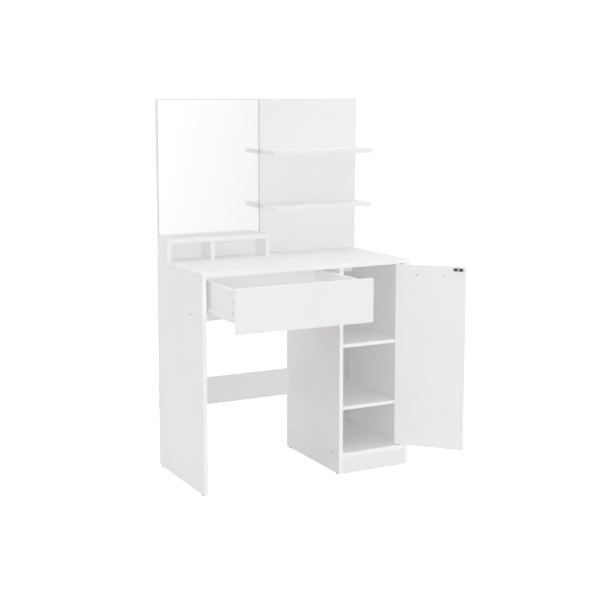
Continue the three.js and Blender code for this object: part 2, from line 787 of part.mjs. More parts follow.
// The leaf is laid out in its closed place, and swings about the pivot.
const leaf = new THREE.Group();
leaf.add(doorPanel(), strikePlate(), doorHandle());
leaf.add(hingePin('hinge_pin_top', doorTop, 1), hingePin('hinge_pin_bottom', doorLow, -1));
const strikeFace = board + faceplay + strikeThickness;
leaf.add(smallScrew('strike_screw', sunkHead, [strikeMiddle, strikeFace, strikeZ], strikeScrewLength));
handleFeet().forEach((x, i) => {
  const length = board + faceplay + screwInHandle;
  const name = `handle_screw_${['left', 'right'][i]}`;
  leaf.add(smallScrew(name, panHead, [x, board + faceplay, handleZ], length));
});
leaf.position.copy(pivot).negate();
const door = new THREE.Group();
door.add(leaf);
door.position.copy(pivot);
door.rotation.z = THREE.MathUtils.degToRad(doorOpening);

const vanity = new THREE.Group();
vanity.add(carcass, drawer, door);

// Origin: the middle of the footprint of the table as it stands, drawer out and door open.
vanity.updateMatrixWorld(true);
const bounds = new THREE.Box3().setFromObject(vanity, true);
const middle = bounds.getCenter(new THREE.Vector3());
vanity.position.set(-middle.x, -middle.y, -bounds.min.z);

export default vanity;
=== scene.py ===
# %% [markdown]
# # A white vanity table
#
# This scene dresses a dressing table for a bedroom: a desk with one drawer and a side
# cabinet, and on it a hutch with a frameless mirror, two open shelves and a small
# organiser. Everything is flat-pack furniture: chipboard faced with white melamine, thin
# hardboard for the back of the cabinet and the drawer bottom, and a handful of steel and
# plastic fittings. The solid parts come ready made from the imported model, so most of the
# work here is finish: how each board, edge, screw and roller takes the light.

import json
import math

import bmesh
import bpy
import numpy as np
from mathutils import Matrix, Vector


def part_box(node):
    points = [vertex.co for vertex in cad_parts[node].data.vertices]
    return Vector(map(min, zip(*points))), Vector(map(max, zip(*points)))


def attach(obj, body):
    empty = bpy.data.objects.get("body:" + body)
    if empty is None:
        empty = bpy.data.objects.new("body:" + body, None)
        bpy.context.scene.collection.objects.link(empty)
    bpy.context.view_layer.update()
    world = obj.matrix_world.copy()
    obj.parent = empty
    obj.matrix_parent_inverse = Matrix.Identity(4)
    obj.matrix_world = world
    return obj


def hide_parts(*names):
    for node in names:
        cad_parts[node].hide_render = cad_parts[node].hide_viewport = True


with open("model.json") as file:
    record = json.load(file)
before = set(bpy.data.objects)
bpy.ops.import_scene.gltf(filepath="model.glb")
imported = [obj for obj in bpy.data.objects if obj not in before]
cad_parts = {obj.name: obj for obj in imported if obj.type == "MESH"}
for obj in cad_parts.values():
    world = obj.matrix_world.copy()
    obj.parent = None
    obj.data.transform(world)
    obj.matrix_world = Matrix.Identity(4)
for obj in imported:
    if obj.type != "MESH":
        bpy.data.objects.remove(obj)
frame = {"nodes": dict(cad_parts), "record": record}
body_of = {
    node: body
    for body, nodes in frame["record"]["behaviour"]["bodies"].items()
    for node in nodes
}
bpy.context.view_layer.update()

# %% [markdown]
# ## The camera
#
# A product picture of furniture is taken from a long way off with a long lens, so that the
# boards stay nearly parallel, and from a little above the mirror's middle, so that the
# desktop and the shelves show their upper faces. The camera looks slightly down. A small
# downward shift of the lens keeps the uprights from leaning together at the feet, as an
# architectural photographer would do with a shift lens.

# %% Set up the camera
STAND_POINT = (-2.0412, -3.7416, 1.3328)
TURN_TO_RIGHT = math.radians(27.69)
LOOK_DOWN = math.radians(7.33)

camera_data = bpy.data.cameras.new("shop_camera")
camera_data.sensor_width = 36.0
camera_data.lens = 74.17
camera_data.shift_x = 0.0081
camera_data.shift_y = -0.08
camera_data.clip_end = 60.0
camera = bpy.data.objects.new("shop_camera", camera_data)
camera.location = STAND_POINT
camera.rotation_euler = (math.radians(90) - LOOK_DOWN, 0.0, -TURN_TO_RIGHT)
bpy.context.scene.collection.objects.link(camera)
bpy.context.scene.camera = camera
print("lens", camera_data.lens, "mm, shift", camera_data.shift_y)

# %% [markdown]
# ## Small helpers for materials
#
# Every finish below is a Principled shader with a few texture nodes in front of it. The
# helpers only save typing: one adds a node and sets its inputs, one wires two sockets, and
# one starts a material. Plain numbers, such as a metal's index or a coat's roughness, are
# always typed into the shader's own sockets. All patterns read Object coordinates: the
# pieces keep their origin at the table's own origin, so a pattern has the same size in
# metres on every board.

# %% Node helpers


def add(tree, kind, **values):
    """Adds a node to a tree and sets the named inputs, with _ for a space in a name."""
    node = tree.nodes.new(kind)
    for name, value in values.items():
        node.inputs[name.replace("_", " ")].default_value = value
    return node


def wire(tree, source, target):
    """Joins an output socket to an input socket."""
    tree.links.new(source, target)


def rgb(*grey_or_colour):
    """Turns a colour as it looks on a screen, 0 to 1, into the linear values of a socket:
    each value to the power of 2.4 after the usual offset."""
    screen = np.array(grey_or_colour * (3 // len(grey_or_colour)))
    linear = np.where(screen <= 0.04045, screen / 12.92, ((screen + 0.055) / 1.055) ** 2.4)
    return (*(float(v) for v in linear), 1.0)


def start_material(name):
    """A new material with a Principled shader. Gives the material, its tree and the shader."""
    material = bpy.data.materials.new(name)
    material.use_nodes = True
    tree = material.node_tree
    return material, tree, tree.nodes["Principled BSDF"]


print("a screen grey of 0.94 is", round(rgb(0.94)[0], 3), "in linear light")

# %% [markdown]
# ## Two shared surface effects
#
# Two effects turn up on nearly every piece of this table. The first is a fine pebble: the
# press plate leaves it on melamine, the spray leaves it on coated steel and the mould leaves
# it on plastic, each with its own grain size. The second is a slow drift of tone and gloss,
# because no sheet is quite even and hands leave faint marks. Both are built once as node
# groups and placed in each material with their own numbers.

# %% Build the pebble
TIMES_FINER = 3.0
FINER_SHARE = 0.33


def start_group(name, inputs, outputs):
    """A shader node group with named float inputs (name: default) and float outputs."""
    group = bpy.data.node_groups.new(name, "ShaderNodeTree")
    for label, default in inputs.items():
        socket = group.interface.new_socket(label, in_out="INPUT", socket_type="NodeSocketFloat")
        socket.default_value = default
    for label in outputs:
        group.interface.new_socket(label, in_out="OUTPUT", socket_type="NodeSocketFloat")
    return group, group.nodes.new("NodeGroupInput"), group.nodes.new("NodeGroupOutput")


def build_pebble():
    """Height of a pressed or sprayed skin: smooth noise at one grain size, plus a third of
    noise three times finer."""
    group, given, result = start_group("fine_pebble", {"Grains per Metre": 900.0}, ["Height"])
    place = add(group, "ShaderNodeTexCoord")
    finer = add(group, "ShaderNodeMath")
    finer.operation = "MULTIPLY"
    finer.inputs[1].default_value = TIMES_FINER
    wire(group, given.outputs["Grains per Metre"], finer.inputs[0])
    large = add(group, "ShaderNodeTexNoise", Detail=1.0, Roughness=0.4)
    small = add(group, "ShaderNodeTexNoise", Detail=0.0)
    wire(group, given.outputs["Grains per Metre"], large.inputs["Scale"])
    wire(group, finer.outputs[0], small.inputs["Scale"])
    blend = add(group, "ShaderNodeMath")
    blend.operation = "MULTIPLY_ADD"
    blend.inputs[1].default_value = FINER_SHARE
    for noise in (large, small):
        wire(group, place.outputs["Object"], noise.inputs["Vector"])
    wire(group, small.outputs["Fac"], blend.inputs[0])
    wire(group, large.outputs["Fac"], blend.inputs[2])
    wire(group, blend.outputs[0], result.inputs["Height"])
    return group


PEBBLE = build_pebble()
print("group", PEBBLE.name, "has", len(PEBBLE.nodes), "nodes")

# %% Build the drift
NOISE_LOW = 0.3
NOISE_HIGH = 0.7


def build_drift():
    """Two slow drifts between 0 and 1: broad noise for the tone of the sheet, and finer noise
    for handling marks. Noise rarely leaves the range from low to high, so that range is
    stretched to 0 to 1."""
    scales = {"Patches per Metre": 5.0, "Marks per Metre": 60.0}
    group, given, result = start_group("slow_drift", scales, ["Tone", "Marks"])
    place = add(group, "ShaderNodeTexCoord")
    layers = {"Tone": ("Patches per Metre", 2.0), "Marks": ("Marks per Metre", 5.0)}
    for output, (label, detail) in layers.items():
        noise = add(group, "ShaderNodeTexNoise", Detail=detail, Roughness=0.55)
        wire(group, place.outputs["Object"], noise.inputs["Vector"])
        wire(group, given.outputs[label], noise.inputs["Scale"])
        spread = add(group, "ShaderNodeMapRange")
        spread.inputs["From Min"].default_value = NOISE_LOW
        spread.inputs["From Max"].default_value = NOISE_HIGH
        wire(group, noise.outputs["Fac"], spread.inputs["Value"])
        wire(group, spread.outputs["Result"], result.inputs[output])
    return group


DRIFT = build_drift()
print("group", DRIFT.name, "has", len(DRIFT.nodes), "nodes")

# %% [markdown]
# ## One recipe for painted, pressed and moulded skins
#
# Melamine, lacquered hardboard, coated steel and moulded plastic look different mainly in
# a few numbers: the colour and how far it drifts, the gloss, and the size and depth of the
# pebble. So one function builds them all, and each material below is one call with that
# finish's own numbers. The colour drifts between two near tones, the roughness follows the
# handling marks, and the pebble goes into a Bump node with its real depth in metres.

# %% The skin recipe, and melamine as its first use


def place_group(tree, group, **values):
    """Places a shared node group in a material's tree, with its inputs set."""
    node = tree.nodes.new("ShaderNodeGroup")
    node.node_tree = group
    for name, value in values.items():
        node.inputs[name.replace("_", " ")].default_value = value
    return node


def mix_colour(tree, factor, low, high):
    """A colour that goes from low to high with a factor socket."""
    mix = tree.nodes.new("ShaderNodeMix")
    mix.data_type = "RGBA"
    mix.inputs["A"].default_value = low
    mix.inputs["B"].default_value = high
    wire(tree, factor, mix.inputs["Factor"])
    return mix.outputs["Result"]


def span(tree, value, low, high):
    """A number that goes from low to high as a socket goes from 0 to 1."""
    spread = add(tree, "ShaderNodeMapRange", To_Min=low, To_Max=high)
    wire(tree, value, spread.inputs["Value"])
    return spread.outputs["Result"]


def bump(tree, height, depth, shader):
    """Bends the shader's normal by a height socket, whose full swing is depth metres."""
    node = add(tree, "ShaderNodeBump", Strength=1.0, Distance=depth)
    wire(tree, height, node.inputs["Height"])
    wire(tree, node.outputs["Normal"], shader.inputs["Normal"])


def skin(name, tones, gloss, grains, depth, specular=0.5):
    """A pressed, sprayed or moulded skin: two near tones, a range of roughness, and a pebble
    of so many grains a metre and a depth in metres."""
    material, tree, shader = start_material(name)
    drift = place_group(tree, DRIFT)
    pebble = place_group(tree, PEBBLE, Grains_per_Metre=grains)
    colour = mix_colour(tree, drift.outputs["Tone"], rgb(*tones[0]), rgb(*tones[1]))
    wire(tree, colour, shader.inputs["Base Color"])
    wire(tree, span(tree, drift.outputs["Marks"], *gloss), shader.inputs["Roughness"])
    shader.inputs["Specular IOR Level"].default_value = specular
    bump(tree, pebble.outputs["Height"], depth, shader)
    return material


melamine = skin(
    "white_melamine_face",
    tones=((0.936, 0.937, 0.937), (0.946, 0.946, 0.945)),
    gloss=(0.4, 0.5),
    grains=850,
    depth=0.00003,
    specular=0.42,
)
print(melamine.name, "has", len(melamine.node_tree.nodes), "nodes")

# %% [markdown]
# ## Bands, lacquers, steel coating and plastics
#
# The bands on the boards' edges are smoother than melamine, because they are extruded and not
# pressed. One of them is lighter than the faces, and the other has their white. Lacquered
# hardboard is matt, with the coarse skin of a roller coat. The runners' coating has the soft
# ripple of powder, and the plastics the fine grain of an etched mould.

# %% Make the other skins
edge_band = skin(
    "white_edge_band",
    tones=((0.972, 0.972, 0.971), (0.98, 0.98, 0.979)),
    gloss=(0.28, 0.36),
    grains=300,
    depth=0.00001,
)
plain_band = skin(
    "plain_edge_band",
    tones=((0.934, 0.935, 0.935), (0.944, 0.944, 0.943)),
    gloss=(0.28, 0.36),
    grains=300,
    depth=0.00001,
)
# The back panel's lacquer is greyer than the boards: partly its own tone and partly painted
# shade for the deep back of the cabinet.
back_lacquer_painted_shade = skin(
    "grey_lacquer_and_painted_shade",
    tones=((0.8, 0.802, 0.802), (0.815, 0.816, 0.815)),
    gloss=(0.5, 0.62),
    grains=600,
    depth=0.00004,
)
tray_lacquer = skin(
    "white_lacquer",
    tones=((0.93, 0.931, 0.931), (0.945, 0.946, 0.945)),
    gloss=(0.5, 0.62),
    grains=600,
    depth=0.00004,
)
coated_steel = skin(
    "white_coated_steel",
    tones=((0.93, 0.93, 0.925), (0.945, 0.945, 0.94)),
    gloss=(0.36, 0.44),
    grains=450,
    depth=0.000008,
)
nylon = skin(
    "roller_nylon",
    tones=((0.9, 0.9, 0.885), (0.925, 0.925, 0.91)),
    gloss=(0.4, 0.5),
    grains=1500,
    depth=0.00001,
)
white_plastic = skin(
    "white_plastic",
    tones=((0.9, 0.9, 0.895), (0.92, 0.92, 0.915)),
    gloss=(0.35, 0.5),
    grains=1800,
    depth=0.00001,
)
grey_plastic = skin(
    "grey_plastic",
    tones=((0.4, 0.4, 0.41), (0.45, 0.45, 0.455)),
    gloss=(0.5, 0.65),
    grains=1200,
    depth=0.00002,
)
black_plastic = skin(
    "black_plastic",
    tones=((0.12, 0.12, 0.125), (0.16, 0.16, 0.165)),
    gloss=(0.4, 0.55),
    grains=1500,
    depth=0.00002,
    specular=0.4,
)
print("nine more skins, from", edge_band.name, "to", black_plastic.name)

# %% [markdown]
# ## One cap in the left side
#
# A single flush cap shows on the outer face of the left side panel, over the fixing of the
# drawer runner. It has no height of its own, so it is drawn in the panel's own material: a
# ring of painted shadow for the gap round it, a slightly greyer disc for the cap's own tone,
# and a small dark socket in the middle, which is painted shade.

# %% Make the panel face with the cap
CAP_CENTRE = (-0.464, 0.017, 0.5996)
CAP_REACH = 0.009
# Greys out from the cap's middle: painted shade in the socket, the cap's own tone on the disc,
# painted shadow in the ring round it, then the plain panel.
CAP_TONE_AND_PAINTED_SHADE = (
    (0.0, 0.4),
    (0.15, 0.42),
    (0.19, 0.74),
    (0.44, 0.74),
    (0.48, 0.4),
    (0.54, 0.4),
    (0.6, 1.0),
)


def grey_ramp(tree, factor, stops):
    """A grey that runs through stops of (position, level) as a factor goes from 0 to 1."""
    ramp = tree.nodes.new("ShaderNodeValToRGB")
    marks = ramp.color_ramp.elements
    while len(marks) < len(stops):
        marks.new(0.5)
    for mark, (position, level) in zip(marks, stops):
        mark.position = position
        mark.color = (level, level, level, 1.0)
    wire(tree, factor, ramp.inputs["Fac"])
    return ramp.outputs["Color"]


def capped_melamine():
    """The melamine face, its colour multiplied by a grey that depends only on the distance
    from the middle of the cap: painted shade in the socket and the ring, the cap's own tone
    on the disc."""
    material = melamine.copy()
    material.name = "white_melamine_face_capped"
    tree = material.node_tree
    shader = tree.nodes["Principled BSDF"]
    face = shader.inputs["Base Color"].links[0].from_socket
    place = add(tree, "ShaderNodeTexCoord")
    away = tree.nodes.new("ShaderNodeVectorMath")
    away.operation = "DISTANCE"
    away.inputs[1].default_value = CAP_CENTRE
    wire(tree, place.outputs["Object"], away.inputs[0])
    reach = add(tree, "ShaderNodeMapRange", From_Max=CAP_REACH)
    wire(tree, away.outputs["Value"], reach.inputs["Value"])
    shaded = tree.nodes.new("ShaderNodeMix")
    shaded.data_type = "RGBA"
    shaded.blend_type = "MULTIPLY"
    shaded.inputs["Factor"].default_value = 1.0
    wire(tree, face, shaded.inputs["A"])
    wire(tree, grey_ramp(tree, reach.outputs["Result"], CAP_TONE_AND_PAINTED_SHADE), shaded.inputs["B"])
    wire(tree, shaded.outputs["Result"], shader.inputs["Base Color"])
    return material


melamine_capped = capped_melamine()
print(melamine_capped.name, "has its cap at", CAP_CENTRE)

# %% [markdown]
# ## Raw hardboard
#
# The thin panels behind the cabinet and under the drawer are lacquered on the side that
# shows. Their other side is bare pressed wood fibre: mid brown, matt, and mottled with short
# fibres that lie every way. Two layers of noise make it, one stretched into fibres by a
# warped coordinate, one for the darker flecks.

# %% Make the raw side of the hardboard
CURL = 0.03
FIBRE_GLOSS = (0.75, 0.6)
FIBRE_DEPTH = 0.00008


def raw_hardboard():
    """Brown fibre board: slow noise times CURL is added to the coordinate, so that fine noise
    on it runs in curls, and dark flecks are the peaks of a second noise."""
    material, tree, shader = start_material("raw_hardboard")
    place = add(tree, "ShaderNodeTexCoord")
    curls = add(tree, "ShaderNodeTexNoise", Scale=90.0, Detail=2.0)
    wire(tree, place.outputs["Object"], curls.inputs["Vector"])
    bend = tree.nodes.new("ShaderNodeVectorMath")
    bend.operation = "MULTIPLY_ADD"
    bend.inputs[1].default_value = (CURL, CURL, CURL)
    wire(tree, curls.outputs["Color"], bend.inputs[0])
    wire(tree, place.outputs["Object"], bend.inputs[2])
    fibres = add(tree, "ShaderNodeTexNoise", Scale=420.0, Detail=4.0, Roughness=0.6)
    flecks = add(tree, "ShaderNodeTexNoise", Scale=260.0, Detail=1.0)
    wire(tree, bend.outputs[0], fibres.inputs["Vector"])
    wire(tree, bend.outputs[0], flecks.inputs["Vector"])
    dark_brown, light_brown = rgb(0.42, 0.31, 0.22), rgb(0.62, 0.48, 0.35)
    brown = mix_colour(tree, fibres.outputs["Fac"], dark_brown, light_brown)
    peaks = add(tree, "ShaderNodeMapRange", From_Min=0.62, From_Max=0.72)
    wire(tree, flecks.outputs["Fac"], peaks.inputs["Value"])
    darker = tree.nodes.new("ShaderNodeMix")
    darker.data_type = "RGBA"
    darker.inputs["B"].default_value = rgb(0.3, 0.21, 0.15)
    wire(tree, peaks.outputs["Result"], darker.inputs["Factor"])
    wire(tree, brown, darker.inputs["A"])
    wire(tree, darker.outputs["Result"], shader.inputs["Base Color"])
    wire(tree, span(tree, fibres.outputs["Fac"], *FIBRE_GLOSS), shader.inputs["Roughness"])
    shader.inputs["Specular IOR Level"].default_value = 0.3
    bump(tree, fibres.outputs["Fac"], FIBRE_DEPTH, shader)
    return material


hardboard_raw = raw_hardboard()
print(hardboard_raw.name, "has", len(hardboard_raw.node_tree.nodes), "nodes")

# %% [markdown]
# ## Metals
#
# Five metals are in sight when the door and the drawer are open: zinc plate on the screws,
# pins and magnet, dark oxide on the strike plate, die-cast zinc on the cam locks, satin
# nickel on the handle, and the silver behind the mirror. Plated, oxidised and cast metal is
# one recipe with scratches: noise squeezed along one direction gives the lay of the polish,
# and it moves the roughness and a shallow bump.

# %% Make the plated metals


def worked_metal(name, tones, gloss, lay, depth):
    """Metal with a lay: noise on coordinates stretched by lay, three factors for X, Y and Z,
    so that each fleck becomes a fine line along the axis with the smallest factor."""
    material, tree, shader = start_material(name)
    place = add(tree, "ShaderNodeTexCoord")
    stretch = add(tree, "ShaderNodeMapping")
    stretch.inputs["Scale"].default_value = lay
    lines = add(tree, "ShaderNodeTexNoise", Scale=1.0, Detail=3.0, Roughness=0.6)
    wire(tree, place.outputs["Object"], stretch.inputs["Vector"])
    wire(tree, stretch.outputs["Vector"], lines.inputs["Vector"])
    drift = place_group(tree, DRIFT, Patches_per_Metre=120.0, Marks_per_Metre=400.0)
    colour = mix_colour(tree, drift.outputs["Tone"], rgb(*tones[0]), rgb(*tones[1]))
    wire(tree, colour, shader.inputs["Base Color"])
    wire(tree, span(tree, lines.outputs["Fac"], *gloss), shader.inputs["Roughness"])
    shader.inputs["Metallic"].default_value = 1.0
    bump(tree, lines.outputs["Fac"], depth, shader)
    return material


zinc = worked_metal(
    "zinc_plate",
    tones=((0.82, 0.824, 0.828), (0.88, 0.882, 0.885)),
    gloss=(0.45, 0.6),
    lay=(900, 900, 900),
    depth=0.00001,
)
dark_oxide = worked_metal(
    "dark_oxide",
    tones=((0.3, 0.3, 0.305), (0.36, 0.36, 0.365)),
    gloss=(0.35, 0.5),
    lay=(300, 2500, 2500),
    depth=0.00001,
)
cast_zinc = worked_metal(
    "cast_zinc",
    tones=((0.868, 0.872, 0.876), (0.91, 0.912, 0.915)),
    gloss=(0.45, 0.62),
    lay=(1200, 1200, 1200),
    depth=0.00003,
)
satin_nickel = worked_metal(
    "satin_nickel",
    tones=((0.72, 0.715, 0.7), (0.76, 0.755, 0.74)),
    gloss=(0.22, 0.36),
    lay=(60, 60, 2500),
    depth=0.00001,
)
print("metals:", zinc.name, dark_oxide.name, cast_zinc.name, satin_nickel.name)

# %% [markdown]
# ## Glass, silver and a ground edge
#
# A frameless mirror is 4 mm float glass, silvered on the back, with ground edges. It could be
# faked with one shiny sheet, but real glass shows something that the sheet doesn't: near the
# side that is turned away from you, you look through the front into the ground edge, which
# draws a fine grey line. So there are three finishes: clear glass, silver for a thin sheet
# behind it, and a frosted skin for the ground edge.

# %% Make the glass, the silver and the ground edge
GLASS_INDEX = 1.52
SILVER_HAZE = (0.006, 0.016)


def float_glass():
    """Clear float glass. It lets all light in and bends it as window glass does, and its
    tint drifts between two palest greens."""
    material, tree, shader = start_material("float_glass")
    drift = place_group(tree, DRIFT, Patches_per_Metre=3.0, Marks_per_Metre=20.0)
    tints = rgb(0.995, 0.997, 0.996), rgb(0.998, 0.999, 0.999)
    colour = mix_colour(tree, drift.outputs["Tone"], *tints)
    wire(tree, colour, shader.inputs["Base Color"])
    shader.inputs["Roughness"].default_value = 0.0
    shader.inputs["Transmission Weight"].default_value = 1.0
    shader.inputs["IOR"].default_value = GLASS_INDEX
    return material


def silver():
    """Silver behind glass: full metal, nearly white, with a trace of haze that drifts."""
    material, tree, shader = start_material("mirror_silver")
    drift = place_group(tree, DRIFT, Patches_per_Metre=4.0, Marks_per_Metre=25.0)
    colour = mix_colour(tree, drift.outputs["Tone"], rgb(0.985), rgb(0.989))
    wire(tree, colour, shader.inputs["Base Color"])
    wire(tree, span(tree, drift.outputs["Marks"], *SILVER_HAZE), shader.inputs["Roughness"])
    shader.inputs["Metallic"].default_value = 1.0
    return material


clear_glass = float_glass()
mirror_silver = silver()
ground_glass = skin(
    "ground_glass_edge",
    tones=((0.6, 0.63, 0.62), (0.68, 0.7, 0.695)),
    gloss=(0.4, 0.6),
    grains=2200,
    depth=0.00002,
)
print("mirror:", clear_glass.name, "over", mirror_silver.name, "with", ground_glass.name)

# %% [markdown]
# ## Boards with banded edges
#
# A melamine board is sawn square, and its narrow sides are covered with a plastic band that
# is trimmed to a tiny radius. That radius is what makes a board look like a board: it
# catches a thin line of light along every edge and leaves a fine groove where two boards
# meet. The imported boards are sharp, so each is copied, its loose triangles are merged, and a
# Bevel modifier of 0.6 mm rounds what is left sharp. Faces across the thickness keep
# melamine, and the narrow ones get the band.

# %% Copy and measure a packed board
DOUBLES_WITHIN = 1e-6
FLAT_ANGLE = math.radians(1)


def merged_copy(node, name):
    """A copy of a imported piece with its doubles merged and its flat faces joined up."""
    source = frame["nodes"][node].data
    mesh = bpy.data.meshes.new(name)
    work = bmesh.new()
    work.from_mesh(source)
    bmesh.ops.remove_doubles(work, verts=work.verts, dist=DOUBLES_WITHIN)
    bmesh.ops.dissolve_limit(work, angle_limit=FLAT_ANGLE, verts=work.verts, edges=work.edges)
    work.to_mesh(mesh)
    work.free()
    return mesh


def thin_axis(node):
    """The number of the axis that a board is thinnest along."""
    low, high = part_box(node)
    return int(np.argmin(np.array(high) - np.array(low)))


def face_normals(mesh):
    """All face normals of a mesh as one array of rows."""
    normals = np.empty(len(mesh.polygons) * 3)
    mesh.polygons.foreach_get("normal", normals)
    return normals.reshape(-1, 3)


print("the desktop is thinnest along", "XYZ"[thin_axis("desktop")])

# %% Paint and round a copied board
EDGE_RADIUS = 0.0006
SHARP_ANGLE = math.radians(40)
LOOKS_ALONG = 0.7


def paint_faces(mesh, materials, choice):
    """Gives a mesh its materials, and each face the one whose number choice holds."""
    mesh.materials.clear()
    for material in materials:
        mesh.materials.append(material)
    mesh.polygons.foreach_set("material_index", np.asarray(choice, dtype=np.int32))


def dressed(node, name, materials, choice_of, radius=EDGE_RADIUS):
    """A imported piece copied, painted face by face and given soft edges. choice_of turns the
    rows of face normals into material numbers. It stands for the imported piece."""
    mesh = merged_copy(node, name)
    paint_faces(mesh, materials, choice_of(face_normals(mesh)))
    piece = bpy.data.objects.new(name, mesh)
    bpy.context.scene.collection.objects.link(piece)
    soften = piece.modifiers.new("trimmed_edge", "BEVEL")
    soften.width = radius
    soften.segments = 2
    soften.limit_method = "ANGLE"
    soften.angle_limit = SHARP_ANGLE
    soften.use_clamp_overlap = True
    soften.harden_normals = True
    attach(piece, body_of[node])
    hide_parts(node)
    return piece


def board_faces(normals, axis, wide, ends, front):
    """The number wide where a face looks along the board's thin axis, ends where a narrow one
    looks along X, and front on the other narrow ones. A face looks along an axis when its
    normal's share on that axis is large."""
    broad = np.abs(normals[:, axis]) > LOOKS_ALONG
    side = np.abs(normals[:, 0]) > LOOKS_ALONG
    return np.where(broad, wide, np.where(side, ends, front))


print("edges are rounded to", EDGE_RADIUS * 1000, "mm")

# %% [markdown]
# ## Dress the square boards
#
# Twenty-one of the boards stand square to the room, so their thin side is simply the
# shortest side of their box. The desktop's two ends have the same plain white as the faces,
# not the lighter band, so they run on without a break from the side panel below and the
# organiser above. The fronts of the hutch shelves and the whole organiser have the plainer
# band, in the white of their faces. The left side panel's faces are the ones with the cap.

# %% Dress the square boards
SQUARE_BOARDS = [
    "desktop",
    "left_side_panel",
    "cabinet_left_panel",
    "cabinet_right_panel",
    "cabinet_bottom_board",
    "plinth_board",
    "cabinet_lower_shelf",
    "cabinet_upper_shelf",
    "rear_stretcher",
    "rear_apron",
    "hutch_back_board",
    "hutch_lower_shelf",
    "hutch_upper_shelf",
    "organiser_left_side",
    "organiser_divider",
    "organiser_right_side",
    "organiser_top_board",
    "drawer_front",
    "drawer_left_side",
    "drawer_right_side",
    "drawer_back",
]

ORGANISER = [node for node in SQUARE_BOARDS if node.startswith("organiser")]
FACE_OF = {"left_side_panel": melamine_capped}
EDGES_OF = {
    "desktop": (melamine, edge_band),
    "hutch_lower_shelf": (edge_band, plain_band),
    "hutch_upper_shelf": (edge_band, plain_band),
    **{node: (plain_band, plain_band) for node in ORGANISER},
}

for node in SQUARE_BOARDS:
    axis = thin_axis(node)
    wanted = [FACE_OF.get(node, melamine), *EDGES_OF.get(node, (edge_band, edge_band))]
    finishes = [finish for place, finish in enumerate(wanted) if finish not in wanted[:place]]
    numbers = [finishes.index(finish) for finish in wanted]
    board = dressed(
        node,
        f"{node}_banded",
        finishes,
        lambda rows: board_faces(rows, axis, *numbers),
    )
print(len(SQUARE_BOARDS), "boards dressed")

# %% [markdown]
# ## Dress the door
#
# The door is a board too, but it stands open at an angle, so its box says nothing about its
# thin side. Its broad faces are found from the normals instead: they are the level ones that
# look the way the largest face looks, or straight away from it.

# %% Dress the door
UPRIGHT_BELOW = 0.5
PARALLEL_ABOVE = 0.9


def door_normal():
    """The level direction that the door's largest face looks in."""
    mesh = frame["nodes"]["door_panel"].data
    areas = np.empty(len(mesh.polygons))
    mesh.polygons.foreach_get("area", areas)
    return face_normals(mesh)[int(np.argmax(areas))]


def door_faces(normals):
    """Material 0 on the two broad faces and the band on the rest. A broad face is upright, so
    its normal has little along Z, and its level part times the door's own normal is nearly 1
    or -1."""
    upright = np.abs(normals[:, 2]) < UPRIGHT_BELOW
    broad = door_normal()
    along = np.abs(normals[:, 0] * broad[0] + normals[:, 1] * broad[1]) > PARALLEL_ABOVE
    return np.where(upright & along, 0, 1)


door = dressed("door_panel", "door_panel_banded", [melamine, edge_band], door_faces)
print("door looks along", [round(float(v), 3) for v in door_normal()])

# %% [markdown]
# ## Thin panels
#
# The cabinet's back panel and the drawer bottom are 3 mm hardboard. Only the side towards
# the contents is lacquered. The back panel's lacquer is set greyer than the boards round
# it: partly a greyer lacquer, and partly painted shade for the deep back of the cabinet,
# which the fill lamps without shadow would light as brightly as the front. The other side
# and the sawn edges are raw, which shows when the table is seen from behind or from below.

# %% Dress the back panel and the drawer bottom
SAWN_RADIUS = 0.0002


def lacquered_side(node, name, lacquer, axis, sign):
    """Lacquer on faces that look along one axis with this sign, raw board on the others."""

    def choose(normals):
        return np.where(normals[:, axis] * sign > LOOKS_ALONG, 0, 1)

    panel = dressed(node, name, [lacquer, hardboard_raw], choose, SAWN_RADIUS)
    return panel


back_panel = lacquered_side(
    "cabinet_back_panel",
    "cabinet_back_panel_lacquered",
    back_lacquer_painted_shade,
    axis=1,
    sign=-1,
)
drawer_bottom = lacquered_side(
    "drawer_bottom",
    "drawer_bottom_lacquered",
    tray_lacquer,
    axis=2,
    sign=1,
)
print("thin panels:", back_panel.name, drawer_bottom.name)

# %% [markdown]
# ## The mirror
#
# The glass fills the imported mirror's box except for the last quarter of a millimetre, where a
# separate sheet of silver lies. Its two broad faces are clear, its four sides are ground, and
# a small ground arris runs round it, which a Bevel modifier cuts. The silver stops just short
# of the sides, as it does on a real mirror.

# %% Lay the glass over the silver
SILVER_THICK = 0.0002
GLASS_TO_SILVER = 0.00005
SILVER_INSET = 0.0005
ARRIS = 0.00015
LEVEL_SQUARE = [(0, 0), (1, 0), (1, 1), (0, 1)]
PLATE_FACES = [
    (0, 3, 2, 1),
    (4, 5, 6, 7),
    (0, 1, 5, 4),
    (2, 3, 7, 6),
    (1, 2, 6, 5),
    (3, 0, 4, 7),
]


def plate(name, low, high, materials):
    """A closed upright plate. Its eight corners are low + t (high - low) with every t 0 or 1:
    four round the bottom, then the four above them. The first material is on the two faces
    that look along Y, the second on the four sides."""
    low, high = np.array(low), np.array(high)
    t = np.array([(*corner, height) for height in (0, 1) for corner in LEVEL_SQUARE])
    corners = low + t * (high - low)
    mesh = bpy.data.meshes.new(name)
    mesh.from_pydata(corners.tolist(), [], PLATE_FACES)
    broad = np.abs(face_normals(mesh)[:, 1]) > LOOKS_ALONG
    paint_faces(mesh, materials, np.where(broad, 0, 1))
    piece = bpy.data.objects.new(name, mesh)
    bpy.context.scene.collection.objects.link(piece)
    return piece


